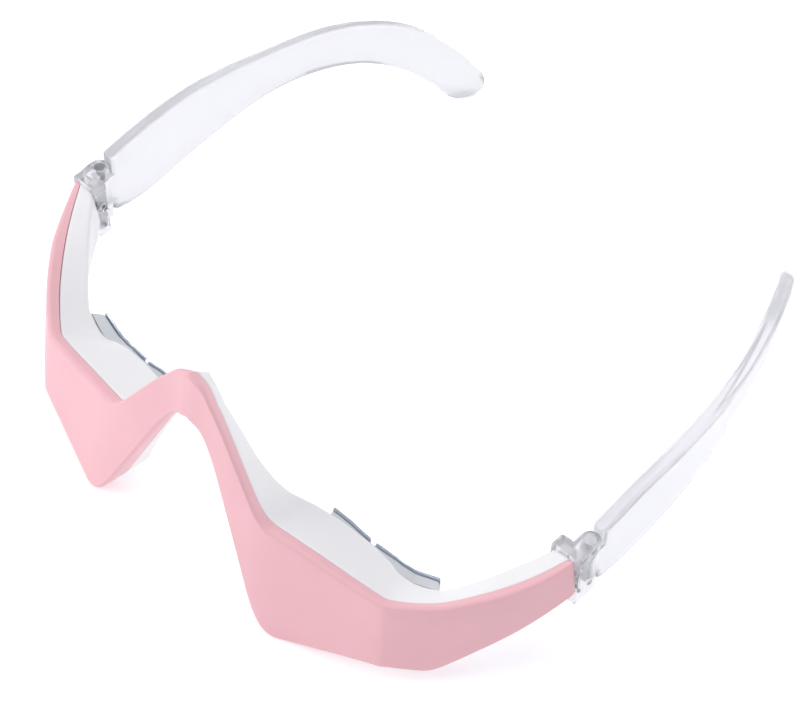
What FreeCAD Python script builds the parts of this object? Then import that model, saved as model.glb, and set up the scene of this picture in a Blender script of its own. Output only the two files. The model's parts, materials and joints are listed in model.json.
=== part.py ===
import FreeCAD, Part
import math
import os

# An eye massager worn like a pair of glasses: a two-part frame, skin plates behind the cheeks,
# and two folding temple arms. Lengths are millimetres. While it is designed, x = 0 is the
# mirror plane, y = 0 is the frame's rear end, z = 0 is the brow level and +y runs to the ears.
# seat() then stands the finished mask on its lowest points.

V = FreeCAD.Vector
right, left = 1, -1

# Frame in plan, at brow level
half_width = 75.0
nose_reach = 40.9
crease_x = 49.0
crease_reach = 26.7
side_bow = 2.0
nose_round = 3.0
# Lean of the outer face: outward travel for each millimetre down
front_lean = 0.295
side_lean = 0.265

# Outlines along the frame: 0 at the nose, 1 at the crease, 2 at the frame's end.
# Each corner is a place along the frame, a height, and how far its rounding reaches.
top_line = [(0, 26.9, 0), (0.10, 25.4, 0.05), (0.20, 18.3, 0.05), (0.437, -2.3, 0.05),
            (1, -9.0, 0.04), (1.25, -8.6, 0.1), (1.8, -3.2, 0.1), (2, 0.0, 0)]
bottom_line = [(0, 12.2, 0), (0.09, 10.9, 0.04), (0.16, 5.7, 0.04), (0.476, -34.3, 0.08),
               (1, -28.3, 0.06), (1.25, -29.5, 0.06), (2, -10.4, 0)]
back_top_line = [(0, 21.8, 0), (0.08, 20.5, 0.04), (0.17, 15.4, 0.05), (0.40, -5.5, 0.06),
                 (0.72, -9.8, 0.06), (1.1, -16.8, 0.1), (1.3, -15.0, 0.1), (2, -0.8, 0)]
back_bottom_line = [(0, 15.2, 0), (0.10, 13.2, 0.04), (0.17, 8.0, 0.04), (0.476, -30.2, 0.05),
                    (1, -26.0, 0.06), (1.25, -27.0, 0.06), (2, -10.0, 0)]
# Depth of the skin side's upper and lower edge behind the brow-level outline
back_top_depth = [(0, 11.3), (0.17, 9.4), (0.30, 8.9), (0.40, 9.9), (0.56, 10.9), (0.70, 10.7),
                  (0.96, 9.2), (1.1, 6.8), (1.3, 4.2), (2, 4.2)]
back_bottom_depth = [(0, 9.8), (0.17, 7.2), (0.28, 5.2), (0.40, 3.6), (0.50, 3.4), (0.9, 2.6),
                     (1.25, 1.0), (1.5, 2.2), (1.7, 3.4), (1.9, 5.4), (2, 5.8)]
# Turn of the cross-sections from the fore-and-aft direction, degrees
section_turn = [(0, 0), (0.15, 16.2), (0.85, 16.2), (1, 30.2), (1.5, 46.0), (2, 90.0)]
stations = [0, 0.05, 0.10, 0.15, 0.20, 0.26, 0.33, 0.39, 0.42, 0.45, 0.476, 0.50, 0.53, 0.60,
            0.68, 0.77, 0.86, 0.94, 1.0, 1.06, 1.15, 1.25, 1.28, 1.35, 1.5, 1.65, 1.8, 1.9, 2.0]

# Shells
cover_wall = 1.6
# How far the cover wraps back: along the top wall, its rise there, and along the underside
cover_rim_top = [(0, 2.8), (1.6, 2.8), (2, 1.4)]
cover_rim_rise = [(0, 0.6), (0.4, 0.8), (1.5, 1.0), (2, 0.2)]
cover_rim_low = [(0, 4.5), (0.10, 4.8), (0.30, 5.6), (0.45, 6.2), (0.56, 2.9), (1.6, 2.8), (2, 1.4)]
edge_break = 0.8
seam_gap = 0.1
shell_wall = 1.5
cavity_end = 1.8
rest_height = -32.6

# Skin pads and plates
pad_from, pad_to = 0.60, 1.28
pad_height = [(0.60, 4.0), (0.68, 4.4), (0.77, 4.6), (0.86, 4.7), (0.94, 4.9), (1.0, 5.3),
              (1.06, 5.0), (1.15, 4.1), (1.28, 3.4)]
pad_top_line = [(0.56, -11.0, 0), (0.8, -17.0, 0.08), (1.05, -19.2, 0.08), (1.3, -16.2, 0)]
pad_margin = 1.6
pad_clearance = 0.12
plate_split = 0.8
plate_gap = 0.012
plate_thickness = 0.6
plate_edge = 0.5
plate_seat = 0.03
plate_overhang = 0.3
stud_places = (0.70, 1.10)
stud_radius = 0.9
stud_head_radius = 1.5
stud_head = 0.5
fit_clearance = 0.1

# Hinges: a clear block behind the frame's end, an arm knuckle between the block's two ears
block_inner, block_outer = half_width - 5.3, half_width + 2.6
block_top, block_bottom = 0.6, -15.4
block_depth = 3.6
block_round = 0.9
block_web = 0.5
joint_gap = 0.1
pin_radius = 0.7
pin_clearance = 0.05
pin_head_radius = pin_radius + 0.6
pin_head = 0.6
pin_low = block_bottom + 0.8
knuckle_wall = 1.4
knuckle_radius = pin_radius + knuckle_wall
knuckle_top, knuckle_bottom = -3.0, -11.0
knuckle_gap = 0.15
knuckle_swing = 0.3
ear_radius = knuckle_radius + 0.1
pin_x = half_width + 0.2
pin_y = block_depth + knuckle_swing + knuckle_radius
tongue_in, tongue_out = block_inner + 1.5, block_inner + 3.5
tongue_top, tongue_bottom = block_top - 3.2, block_bottom + 1.4
tongue_reach = block_depth - block_web
screw_y, screw_z = block_depth / 2, -6.0
screw_tip = block_outer - 1.2
screw_radius = 0.7
screw_head_radius = screw_radius + 0.55
screw_head = 0.9
screw_face = 0.15
screw_socket_radius = 0.5
screw_socket_depth = 0.3
dowel_y, dowel_z = screw_y, -12.4
dowel_radius = 0.45

# Temple arms. Seen from the side, each outline point is a share of the length and a height.
arm_thickness = 3.6
arm_front = pin_y + knuckle_radius + 0.4
arm_length = 106.5
arm_straight = 19.5
arm_bend_radius = 150.0
arm_round = 1.0
arm_top = [(0, 2.4), (0.07, 3.8), (0.20, 4.9), (0.343, 4.3), (0.484, 3.0), (0.615, 2.4),
           (0.737, -0.7), (0.836, -6.6), (0.902, -14.2), (0.947, -20.8), (0.976, -26.6)]
arm_bottom = [(0.893, -30.6), (0.865, -26.4), (0.822, -21.1), (0.765, -15.9), (0.69, -11.6),
              (0.578, -9.1), (0.465, -9.2), (0.333, -12.0), (0.183, -15.1), (0.07, -16.4),
              (0, -15.3)]
arm_tip_middle = (0.949, -32.9)

# What the lobes hold, in the front facet's own frame: along it, in from it, and up it
facet_along, facet_height = 0.735, -18.0
board_size = (18.4, 11.6, 1.0)
board_corner = (-10.6, -5.4)
board_front = cover_wall + 2.6
board_standoff = 0.05
board_screw_places = [(-8.6, 4.2), (6.2, 4.6)]
board_screw_radius = 0.6
board_screw_head_radius = 1.0
board_screw_head = 0.5
board_screw_length = 3.2
board_post_radius = 1.3
chip_places = [(-3.5, 1.5, 6.0, 6.0, 1.1), (3.4, 1.8, 4.2, 3.4, 1.0), (-7.6, -2.4, 2.4, 1.8, 0.8),
               (0.6, -3.6, 3.0, 1.4, 0.9)]
battery_size = (19.0, 4.4, 10.6)
battery_corner = (-11.6, -4.4)
battery_front = cover_wall + 1.1
battery_round = 1.0
tape_margin = 1.5
tape_clearance = 0.25
boss_radius = 1.9
boss_root = 0.5
boss_places = [(-13.0, 9.6), (10.2, 4.4)]
boss_split = 6.0
shell_screw_radius = 0.8
shell_screw_head_radius = 1.4
shell_screw_head = 0.8
shell_screw_tip = 3.0
screw_seat_depth = 9.0
motor_place = (-2.2, 5.0)
motor_radius = 3.5
motor_thickness = 2.4
motor_front = cover_wall + 5.7
socket_wall = 0.8

# The underside of the right lobe: charging port, power button and status light
underside_from, underside_to = 0.6, 0.95
port_along = -5.6
port_size = (8.9, 3.2, 6.2)
port_shell = 0.3
port_recess = 0.3
port_clearance = 0.15
tongue_size = (6.6, 0.7, 4.6)
button_along = 5.0
button_size = (6.0, 2.4)
button_proud = 0.6
button_travel = 0.4
button_clearance = 0.15
cap_height = 2.6
plunger_size = (1.6, 0.9)
plunger_free = 0.6
plunger_inside = 0.7
switch_size = (4.4, 2.4, 2.4)
pipe_along = 0.4
pipe_radius = 0.6
pipe_length = 2.8
light_size = (1.6, 0.9, 0.8)
ribbon_height = 3.0
ribbon_thickness = 0.3
ribbon_to = 0.45


def linear(knots, t):
    """Straight interpolation through a list of (place, value, ...)."""
    for low, high in zip(knots, knots[1:]):
        if t <= high[0]:
            share = (t - low[0]) / (high[0] - low[0])
            return low[1] + share * (high[1] - low[1])
    return knots[-1][1]


def rounded(knots, t):
    """The same line with each inner corner turned by a parabola of the corner's reach."""
    value = linear(knots, t)
    for before, corner, after in zip(knots, knots[1:], knots[2:]):
        reach = corner[2]
        if abs(t - corner[0]) < reach:
            rise_in = (corner[1] - before[1]) / (corner[0] - before[0])
            rise_out = (after[1] - corner[1]) / (after[0] - corner[0])
            value += (rise_out - rise_in) * (reach - abs(t - corner[0])) ** 2 / (4 * reach)
    return value


def outline_point(t):
    """Brow-level outline of the outer face, for one side."""
    if t <= 1:
        x = crease_x * t
        slope = (nose_reach - crease_reach) / crease_x
        return V(x, -nose_reach + slope * math.hypot(x, nose_round), 0)
    share = t - 1
    run_x = half_width - crease_x
    chord = math.hypot(run_x, crease_reach)
    bow = 4 * side_bow * share * (1 - share)
    x = crease_x + run_x * share + bow * crease_reach / chord
    y = -crease_reach * (1 - share) - bow * run_x / chord
    return V(x, y, 0)


def lean(t):
    return linear([(0, front_lean), (1, front_lean), (1.2, side_lean), (2, side_lean)], t)


def in_section(t, depth, height):
    """World point at a depth and a height in the cross-section at t; negative t is the left."""
    turn = math.radians(linear(section_turn, abs(t)))
    inward = V(-math.sin(turn), math.cos(turn), 0)
    point = outline_point(abs(t)) + inward * depth + V(0, 0, height)
    return V(-point.x, point.y, point.z) if t < 0 else point


def offset_line(first, second, distance):
    """A line through two (depth, height) points, moved to its left by a distance."""
    run = (second[0] - first[0], second[1] - first[1])
    size = math.hypot(*run)
    return (first[0] - run[1] / size * distance, first[1] + run[0] / size * distance), run


def crossing(one, other):
    (px, py), (ux, uy) = one
    (qx, qy), (vx, vy) = other
    share = ((qx - px) * vy - (qy - py) * vx) / (ux * vy - uy * vx)
    return (px + ux * share, py + uy * share)


def walls(t):
    """The section's four outer corners: front top, front bottom, back bottom, back top."""
    t = abs(t)
    top, bottom = rounded(top_line, t), rounded(bottom_line, t)
    back_top = (linear(back_top_depth, t), rounded(back_top_line, t))
    back_bottom = (linear(back_bottom_depth, t), rounded(back_bottom_line, t))
    front_top = (top * lean(t) - linear(cover_rim_top, t), top + linear(cover_rim_rise, t))
    return front_top, (bottom * lean(t), bottom), back_bottom, back_top


def seam(t, gap):
    """The line in the section at t where the cover ends and the shell begins, moved back."""
    (top_depth, top), (low_depth, low) = walls(t)[:2]
    top_corner = (top_depth + linear(cover_rim_top, abs(t)), top - linear(cover_rim_rise, abs(t)))
    return offset_line(top_corner, (low_depth + linear(cover_rim_low, abs(t)), low), gap)


def section(t, front=0.0, seam_front=None, seam_back=None, skin=0.0, inset=0.0, chamfer=0.0):
    """A closed wire in the section at t: the front wall and the skin side moved in or replaced
    by the seam, and the top and bottom walls moved in by inset."""
    front_top, front_bottom, back_bottom, back_top = walls(t)
    face = offset_line(front_top, front_bottom, front)
    if seam_front is not None:
        face = seam(t, seam_front)
    floor = offset_line(front_bottom, back_bottom, inset)
    ceiling = offset_line(back_top, front_top, inset)
    rear = offset_line(back_bottom, back_top, skin)
    if seam_back is not None:
        rear = seam(t, seam_back)
    if chamfer:
        shallow = offset_line(front_top, front_bottom, chamfer)
        low_ceiling = offset_line(back_top, front_top, chamfer)
        high_floor = offset_line(front_bottom, back_bottom, chamfer)
        corners = [crossing(face, low_ceiling), crossing(face, high_floor),
                   crossing(shallow, floor), crossing(floor, rear), crossing(rear, ceiling),
                   crossing(ceiling, shallow)]
    else:
        corners = [crossing(ceiling, face), crossing(face, floor),
                   crossing(floor, rear), crossing(rear, ceiling)]
    return closed_wire([in_section(t, *corner) for corner in corners])


def closed_wire(points):
    return Part.makePolygon(points + points[:1])


def both_ways(limit):
    """Stations from the left side to the right, as far as limit."""
    one_side = [t for t in stations if t < limit] + [limit]
    return [-t for t in reversed(one_side[1:])] + one_side


def loft(wires):
    return Part.makeLoft(wires, True, True)


def frame_loft(limit=2.0, **options):
    return loft([section(t, **options) for t in both_ways(limit)])


def box_between(low, high):
    size = [b - a for a, b in zip(low, high)]
    return Part.makeBox(*size, V(*low))


def mirrored(shape):
    return shape.mirror(V(0, 0, 0), V(1, 0, 0))


def on_side(shape, side):
    return shape if side == right else mirrored(shape)


def facet_placement():
    """Place of the right front facet: its own x runs outward along it, y inward, z up it."""
    turn = math.radians(linear(section_turn, facet_along))
    inward = V(-math.sin(turn), math.cos(turn), 0)
    along = V(math.cos(turn), math.sin(turn), 0)
    (top_depth, top), (low_depth, low) = walls(facet_along)[:2]
    slope = (top_depth - low_depth) / (top - low)
    size = math.hypot(1, slope)
    deep = (inward - V(0, 0, slope)) * (1 / size)
    up = (inward * slope + V(0, 0, 1)) * (1 / size)
    origin = in_section(facet_along, low_depth + slope * (facet_height - low), facet_height)
    return FreeCAD.Placement(origin, FreeCAD.Rotation(along, deep, up, "XYZ"))


def placed(shape, side=right):
    """A shape made in facet coordinates, put in its place on one side."""
    moved = shape.copy()
    moved.Placement = facet_placement().multiply(moved.Placement)
    return on_side(moved, side)


def peg(radius, along, up, low, high):
    """A cylinder that runs inward from the facet, from one depth to another."""
    return Part.makeCylinder(radius, high - low, V(along, low, up), V(0, 1, 0))


def slot_prism(length, width, height):
    """An upright bar with half-round ends, centred on its own axis."""
    radius = width / 2
    bar = box_between((radius - length / 2, -radius, 0), (length / 2 - radius, radius, height))
    for end in (radius - length / 2, length / 2 - radius):
        bar = bar.fuse(Part.makeCylinder(radius, height, V(end, 0, 0)))
    return bar.removeSplitter()


def above_floor():
    """Everything above the plane that the mask rests on."""
    return box_between((-200, -200, rest_height), (200, 300, 200))


def bosses(low, high, radius):
    """One lobe's two screw bosses, or what runs inside them."""
    pegs = [peg(radius, along, up, low, high) for along, up in boss_places]
    return pegs[0].fuse(pegs[1:])


def both_sides(shape):
    return shape.fuse(mirrored(shape))


def screw_holes(low, high, radius):
    return both_sides(placed(bosses(low, high, radius)))


def trimmed_bosses(low, high, radius, inset):
    """Bosses cut back to the space inside the frame's outer walls."""
    space = frame_loft(cavity_end, front=inset, skin=inset, inset=inset)
    return screw_holes(low, high, radius).common(space)


def board_pegs(low, high, radius):
    pegs = [peg(radius, along, up, low, high) for along, up in board_screw_places]
    return placed(pegs[0].fuse(pegs[1:]))


def front_cover():
    outer = frame_loft(seam_back=0, chamfer=edge_break)
    cavity = frame_loft(cavity_end, front=cover_wall, seam_back=1, inset=cover_wall)
    cover = outer.cut(cavity)
    cover = cover.fuse(trimmed_bosses(0, boss_split, boss_radius, boss_root))
    cover = cover.fuse(board_pegs(boss_root, board_front, board_post_radius))
    cover = cover.cut(screw_holes(shell_screw_tip, boss_split + 1, shell_screw_radius))
    pilot_low = board_front + board_size[2] - board_screw_length
    cover = cover.cut(board_pegs(pilot_low, board_front + 1, board_screw_radius))
    return cover.common(above_floor())


def facet_point(t, corner):
    """A section's corner in the facet's own coordinates."""
    return facet_placement().inverse().multVec(in_section(t, *walls(t)[corner]))


def underside_plane():
    """A point on the outer underside wall and its normal into the lobe, in facet coordinates."""
    near, far = facet_point(underside_from, 1), facet_point(underside_to, 1)
    back = facet_point((underside_from + underside_to) / 2, 2)
    normal = (far - near).cross(back - near)
    normal.normalize()
    return near, normal if normal.z > 0 else normal * -1


def underside_height(along, deep):
    point, normal = underside_plane()
    return point.z - (normal.x * (along - point.x) + normal.y * (deep - point.y)) / normal.z


def inside_underside(offset):
    """A slab, in facet coordinates, that starts at the underside wall moved in by offset."""
    point, normal = underside_plane()
    slab = Part.makeBox(90, 90, 40, V(-45, -45, 0))
    slab.Placement = FreeCAD.Placement(point + normal * offset,
                                       FreeCAD.Rotation(V(0, 0, 1), normal))
    return slab


def board_back():
    return board_front + board_size[2]


def underside_bar(along, length, width, low, high):
    """A bar behind the board, from low to high above the outer underside wall."""
    deep = board_back() + board_standoff + width / 2
    bar = slot_prism(length, width, high - low)
    bar.translate(V(along, deep, underside_height(along, deep) + low))
    return bar


def charging_port():
    length, width, height = port_size
    outer = underside_bar(port_along, length, width, -3, height)
    bore_width = width - 2 * port_shell
    bore = slot_prism(length - 2 * port_shell, bore_width, height + 3 - port_shell)
    deep = board_back() + board_standoff + width / 2
    bore.translate(V(port_along, deep, underside_height(port_along, deep) - 3))
    return placed(outer.cut(bore).common(inside_underside(port_recess)))


def port_tongue():
    length, thickness, height = tongue_size
    deep = board_back() + board_standoff + port_size[1] / 2
    high = underside_height(port_along, deep) + port_size[2] - port_shell
    blade = box_between((port_along - length / 2, deep - thickness / 2, high - height),
                        (port_along + length / 2, deep + thickness / 2, high))
    return placed(blade)


def button_deep():
    return board_back() + board_standoff + button_size[1] / 2


def cap_top():
    return underside_height(button_along, button_deep()) + cap_height


def power_button():
    length, width = button_size
    cap = underside_bar(button_along, length, width, -3, cap_height)
    return placed(cap.common(inside_underside(-button_proud)))


def plunger_block(grow, high):
    width, thickness = plunger_size
    deep = button_deep()
    return box_between((button_along - width / 2 - grow, deep - thickness / 2 - grow, cap_top()),
                       (button_along + width / 2 + grow, deep + thickness / 2 + grow, high))


def switch_low():
    return cap_top() + plunger_free


def switch_plunger():
    return placed(plunger_block(0, switch_low() + plunger_inside))


def switch_body():
    width, height, thickness = switch_size
    deep = board_back()
    low = switch_low()
    body = box_between((button_along - width / 2, deep, low),
                       (button_along + width / 2, deep + thickness, low + height))
    well = plunger_block(fit_clearance, low + plunger_inside + button_travel + fit_clearance)
    return placed(body.cut(well))


def light_pipe_cylinder(radius, low):
    deep = board_back() + board_standoff + pipe_radius
    base = underside_height(pipe_along, deep)
    return Part.makeCylinder(radius, pipe_length - low, V(pipe_along, deep, base + low))


def status_light_pipe():
    return placed(light_pipe_cylinder(pipe_radius, -2).common(inside_underside(0)))


def status_light():
    deep = board_back()
    base = underside_height(pipe_along, deep + board_standoff + pipe_radius) + pipe_length
    width, height, thickness = light_size
    return placed(box_between((pipe_along - width / 2, deep, base + fit_clearance),
                              (pipe_along + width / 2, deep + thickness,
                               base + fit_clearance + height)))


def underside_openings():
    """What passes through the underside of the right lobe, with its clearances."""
    port = underside_bar(port_along, port_size[0] + 2 * port_clearance,
                         port_size[1] + 2 * port_clearance, -4, shell_wall + 3)
    port.translate(V(0, -port_clearance, 0))
    cap = underside_bar(button_along, button_size[0] + 2 * button_clearance,
                        button_size[1] + 2 * button_clearance, -4, shell_wall + 3)
    cap.translate(V(0, -button_clearance, 0))
    pipe = light_pipe_cylinder(pipe_radius + fit_clearance, -4)
    return placed(port.fuse([cap, pipe]))


def skin_point(t, up, out):
    """A point by its distance up the skin side from its lower edge, and out from the face."""
    (low_depth, low_height), (high_depth, high_height) = walls(t)[2:]
    size = math.hypot(high_depth - low_depth, high_height - low_height)
    run = ((high_depth - low_depth) / size, (high_height - low_height) / size)
    return in_section(t, low_depth + run[0] * up + run[1] * out,
                      low_height + run[1] * up - run[0] * out)


def pad_top(t):
    """Distance up the skin side of the pad's upper edge."""
    (low_depth, low_height), (high_depth, high_height) = walls(t)[2:]
    size = math.hypot(high_depth - low_depth, high_height - low_height)
    rise, out = (high_height - low_height) / size, (high_depth - low_depth) / size
    height = rounded(pad_top_line, t)
    return (height - low_height + out * linear(pad_height, t)) / rise


def skin_strip(begin, end, low, high, bottom, top):
    """A strip along the skin side between two places, two heights out and two edges."""
    places = [begin] + [t for t in stations if begin < t < end] + [end]
    wires = []
    for t in places:
        points = [(bottom(t), low(t)), (top(t), low(t)), (top(t), high(t)), (bottom(t), high(t))]
        wires.append(closed_wire([skin_point(t, *point) for point in points]))
    return loft(wires)


def pad_surface(t):
    return linear(pad_height, t)


def electrode_pad(side):
    pad = skin_strip(pad_from, pad_to, lambda t: pad_clearance, pad_surface,
                     lambda t: pad_margin, pad_top)
    return on_side(pad.cut([stud_hole(t) for t in stud_places]), side)


def electrode_plate(side, begin, end):
    plate = skin_strip(begin, end, lambda t: pad_surface(t) + plate_seat,
                       lambda t: pad_surface(t) + plate_thickness,
                       lambda t: pad_margin + plate_edge, lambda t: pad_top(t) + plate_overhang)
    return on_side(plate, side)


def stud_cylinder(t, radius, low, high):
    """A cylinder on a stud's axis, between two distances out from the skin side."""
    up = pad_margin + (pad_top(t) - pad_margin) / 2
    start, finish = skin_point(t, up, low), skin_point(t, up, high)
    return Part.makeCylinder(radius, high - low, start, finish - start)


def stud_hole(t):
    """A stud's way through the pad and shell, with room for its head inside."""
    bore = stud_cylinder(t, stud_radius + fit_clearance, -4, pad_surface(t) + 2)
    return bore.fuse(stud_cylinder(t, stud_head_radius + fit_clearance, -4, -shell_wall))


def electrode_studs():
    """Each stud's end is parallel to the plate that it feeds, a clearance below it."""
    seat_depth = -shell_wall - fit_clearance
    below_plates = skin_strip(pad_from, pad_to, lambda t: seat_depth - 1,
                              lambda t: pad_surface(t) - fit_clearance,
                              lambda t: pad_margin, pad_top)
    studs = []
    for t in stud_places:
        head = stud_cylinder(t, stud_head_radius, seat_depth - stud_head, seat_depth)
        shank = stud_cylinder(t, stud_radius, seat_depth, pad_surface(t) + 1)
        studs.append(head.fuse(shank.common(below_plates)))
    return Part.makeCompound(studs + [mirrored(one) for one in studs])


def motor_cylinder(radius, low, high):
    along, up = motor_place
    return peg(radius, along, up, low, high)


def vibration_motor(side):
    can = motor_cylinder(motor_radius, motor_front, motor_front + motor_thickness)
    return placed(can, side)


def motor_socket():
    ring = motor_cylinder(motor_radius + fit_clearance + socket_wall, motor_front + 1, 20)
    ring = ring.cut(motor_cylinder(motor_radius + fit_clearance, 0,
                                   motor_front + motor_thickness + fit_clearance))
    return placed(ring)


def rear_shell():
    outer = frame_loft(seam_front=seam_gap)
    cavity = frame_loft(cavity_end, seam_front=seam_gap - 1, skin=shell_wall, inset=shell_wall)
    shell = outer.cut(cavity)
    shell = shell.fuse(trimmed_bosses(boss_split + seam_gap, 20, boss_radius, boss_root))
    socket = both_sides(motor_socket()).common(outer)
    shell = shell.fuse([socket, frame_tongue(right), frame_tongue(left)])
    cuts = [screw_holes(boss_split, 20, shell_screw_radius + fit_clearance),
            screw_heads(shell_screw_head_radius + fit_clearance, 20), underside_openings()]
    cuts += [on_side(stud_hole(t), side) for t in stud_places for side in (right, left)]
    cuts += [cross_hole(side, fit_clearance) for side in (right, left)]
    return shell.cut(cuts).common(above_floor())


def screw_heads(radius, high):
    return screw_holes(screw_seat_depth, high, radius)


def shell_screws():
    one_side = []
    for along, up in boss_places:
        shank = peg(shell_screw_radius, along, up, shell_screw_tip, screw_seat_depth)
        head = peg(shell_screw_head_radius, along, up, screw_seat_depth,
                   screw_seat_depth + shell_screw_head)
        one_side.append(placed(shank.fuse(head)))
    return Part.makeCompound(one_side + [mirrored(screw) for screw in one_side])


def main_board():
    width, height, thickness = board_size
    low_along, low_up = board_corner
    board = box_between((low_along, board_front, low_up),
                        (low_along + width, board_front + thickness, low_up + height))
    holes = [peg(board_screw_radius + fit_clearance, along, up, board_front - 1,
                 board_back() + 1) for along, up in board_screw_places]
    return placed(board.cut(holes))


def board_chips():
    chips = [box_between((along - width / 2, board_front - thickness, up - height / 2),
                         (along + width / 2, board_front, up + height / 2))
             for along, up, width, height, thickness in chip_places]
    return placed(Part.makeCompound(chips))


def board_screws():
    screws = []
    for along, up in board_screw_places:
        shank = peg(board_screw_radius, along, up, board_back() - board_screw_length,
                    board_back())
        head = peg(board_screw_head_radius, along, up, board_back(),
                   board_back() + board_screw_head)
        screws.append(placed(shank.fuse(head)))
    return Part.makeCompound(screws)


def battery():
    width, thickness, height = battery_size
    along, up = battery_corner
    cell = box_between((along, battery_front, up),
                       (along + width, battery_front + thickness, up + height))
    upright = [edge for edge in cell.Edges
               if abs(edge.tangentAt(edge.FirstParameter).x) > 0.9]
    return placed(cell.makeFillet(battery_round, upright), left)


def battery_tape():
    width, thickness, height = battery_size
    along, up = battery_corner
    front = cover_wall + tape_clearance
    strip = box_between((along + tape_margin, front, up + tape_margin),
                        (along + width - tape_margin, battery_front, up + height - tape_margin))
    return placed(strip, left)


def bridge_ribbon():
    wires = []
    for t in both_ways(ribbon_to):
        corners = walls(t)
        depth = sum(corner[0] for corner in corners) / 4
        height = sum(corner[1] for corner in corners) / 4
        half, thin = ribbon_height / 2, ribbon_thickness / 2
        points = [(depth - thin, height - half), (depth + thin, height - half),
                  (depth + thin, height + half), (depth - thin, height + half)]
        wires.append(closed_wire([in_section(t, *point) for point in points]))
    return loft(wires)


def upright(radius, low, high):
    """A vertical cylinder on the right hinge's axis."""
    return Part.makeCylinder(radius, high - low, V(pin_x, pin_y, low))


def crosswise(radius, y, z, low, high):
    return Part.makeCylinder(radius, high - low, V(low, y, z), V(1, 0, 0))


def frame_tongue(side):
    """The flat tongue behind the frame's end that the clear hinge block is screwed to."""
    blade = box_between((tongue_in, 0, tongue_bottom), (tongue_out, tongue_reach, tongue_top))
    return on_side(blade, side)


def cross_hole(side, grow):
    screw = crosswise(screw_radius + grow, screw_y, screw_z, block_inner - 1, block_outer + 1)
    dowel = crosswise(dowel_radius + grow, dowel_y, dowel_z, block_inner - 1, block_outer + 1)
    return on_side(screw.fuse(dowel), side)


def hinge_block(side):
    body = box_between((block_inner, joint_gap, block_bottom),
                       (block_outer, block_depth, block_top))
    rims = [edge for edge in body.Edges if len(edge.Vertexes) == 2
            and min(vertex.Y for vertex in edge.Vertexes) > joint_gap / 2
            and not (edge.CenterOfMass.y < joint_gap + 0.01)]
    body = body.makeFillet(block_round, rims)
    for low, high in ((knuckle_top + knuckle_gap, block_top),
                      (block_bottom, knuckle_bottom - knuckle_gap)):
        web = box_between((pin_x - ear_radius, block_depth - block_round, low),
                          (pin_x + ear_radius, pin_y, high))
        body = body.fuse([web, upright(ear_radius, low, high)])
    grow = fit_clearance
    slot = box_between((tongue_in - grow, -1, tongue_bottom - grow),
                       (tongue_out + grow, tongue_reach + grow, tongue_top + grow))
    pin_hole = upright(pin_radius, pin_low, block_top + 1)
    head_hole = upright(pin_head_radius + grow, block_top - pin_head - grow, block_top + 1)
    screw_hole = crosswise(screw_radius, screw_y, screw_z, block_inner - 1, screw_tip)
    screw_seat = crosswise(screw_head_radius + grow, screw_y, screw_z, block_inner - 1,
                           block_inner + screw_head)
    dowel_hole = crosswise(dowel_radius, dowel_y, dowel_z, block_inner - 1, screw_tip)
    block = body.cut([slot, pin_hole, head_hole, screw_hole, screw_seat, dowel_hole])
    return on_side(block.removeSplitter(), side)


def hinge_pin(side):
    shank = upright(pin_radius, pin_low, block_top - pin_head - fit_clearance)
    head = upright(pin_head_radius, block_top - pin_head - fit_clearance,
                   block_top - fit_clearance)
    return on_side(shank.fuse(head), side)


def hinge_screws():
    shank = crosswise(screw_radius, screw_y, screw_z, block_inner + screw_head, screw_tip)
    head = crosswise(screw_head_radius, screw_y, screw_z, block_inner + screw_face,
                     block_inner + screw_head)
    socket = crosswise(screw_socket_radius, screw_y, screw_z, block_inner,
                       block_inner + screw_face + screw_socket_depth)
    screw = shank.fuse(head).cut(socket)
    return Part.makeCompound([screw, mirrored(screw)])


def hinge_dowels():
    dowel = crosswise(dowel_radius, dowel_y, dowel_z, block_inner + screw_face, screw_tip)
    return Part.makeCompound([dowel, mirrored(dowel)])


def side_point(point):
    share, height = point
    return V(0, arm_front + arm_length * share, height)


def spline(points):
    curve = Part.BSplineCurve()
    curve.interpolate([side_point(point) for point in points])
    return curve.toShape()


def arm_side_view():
    """The arm's outline seen from the side, drawn on the plane x = 0."""
    front = Part.makeLine(side_point(arm_bottom[-1]), side_point(arm_top[0]))
    tip = Part.Arc(side_point(arm_top[-1]), side_point(arm_tip_middle),
                   side_point(arm_bottom[0])).toShape()
    return Part.Face(Part.Wire([spline(arm_top), tip, spline(arm_bottom), front]))


def arm_plan():
    """The arm's thickness seen from above: straight, then bent in along an arc."""
    start, bend = arm_front, arm_front + arm_straight
    centre = V(pin_x - arm_bend_radius, bend, 0)
    sweep = math.asin((arm_length - arm_straight) / arm_bend_radius)
    half = arm_thickness / 2
    edges = []
    for radius in (arm_bend_radius + half, arm_bend_radius - half):
        x = centre.x + radius
        ends = [centre + V(math.cos(sweep * share), math.sin(sweep * share), 0) * radius
                for share in (0, 0.5, 1)]
        edges.append([Part.makeLine(V(x, start, 0), V(x, bend, 0)),
                      Part.Arc(*ends).toShape(), ends[-1]])
    close = [Part.makeLine(V(pin_x - half, start, 0), V(pin_x + half, start, 0)),
             Part.makeLine(edges[0][2], edges[1][2])]
    return Part.Face(Part.Wire(Part.__sortEdges__(edges[0][:2] + edges[1][:2] + close)))


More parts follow.
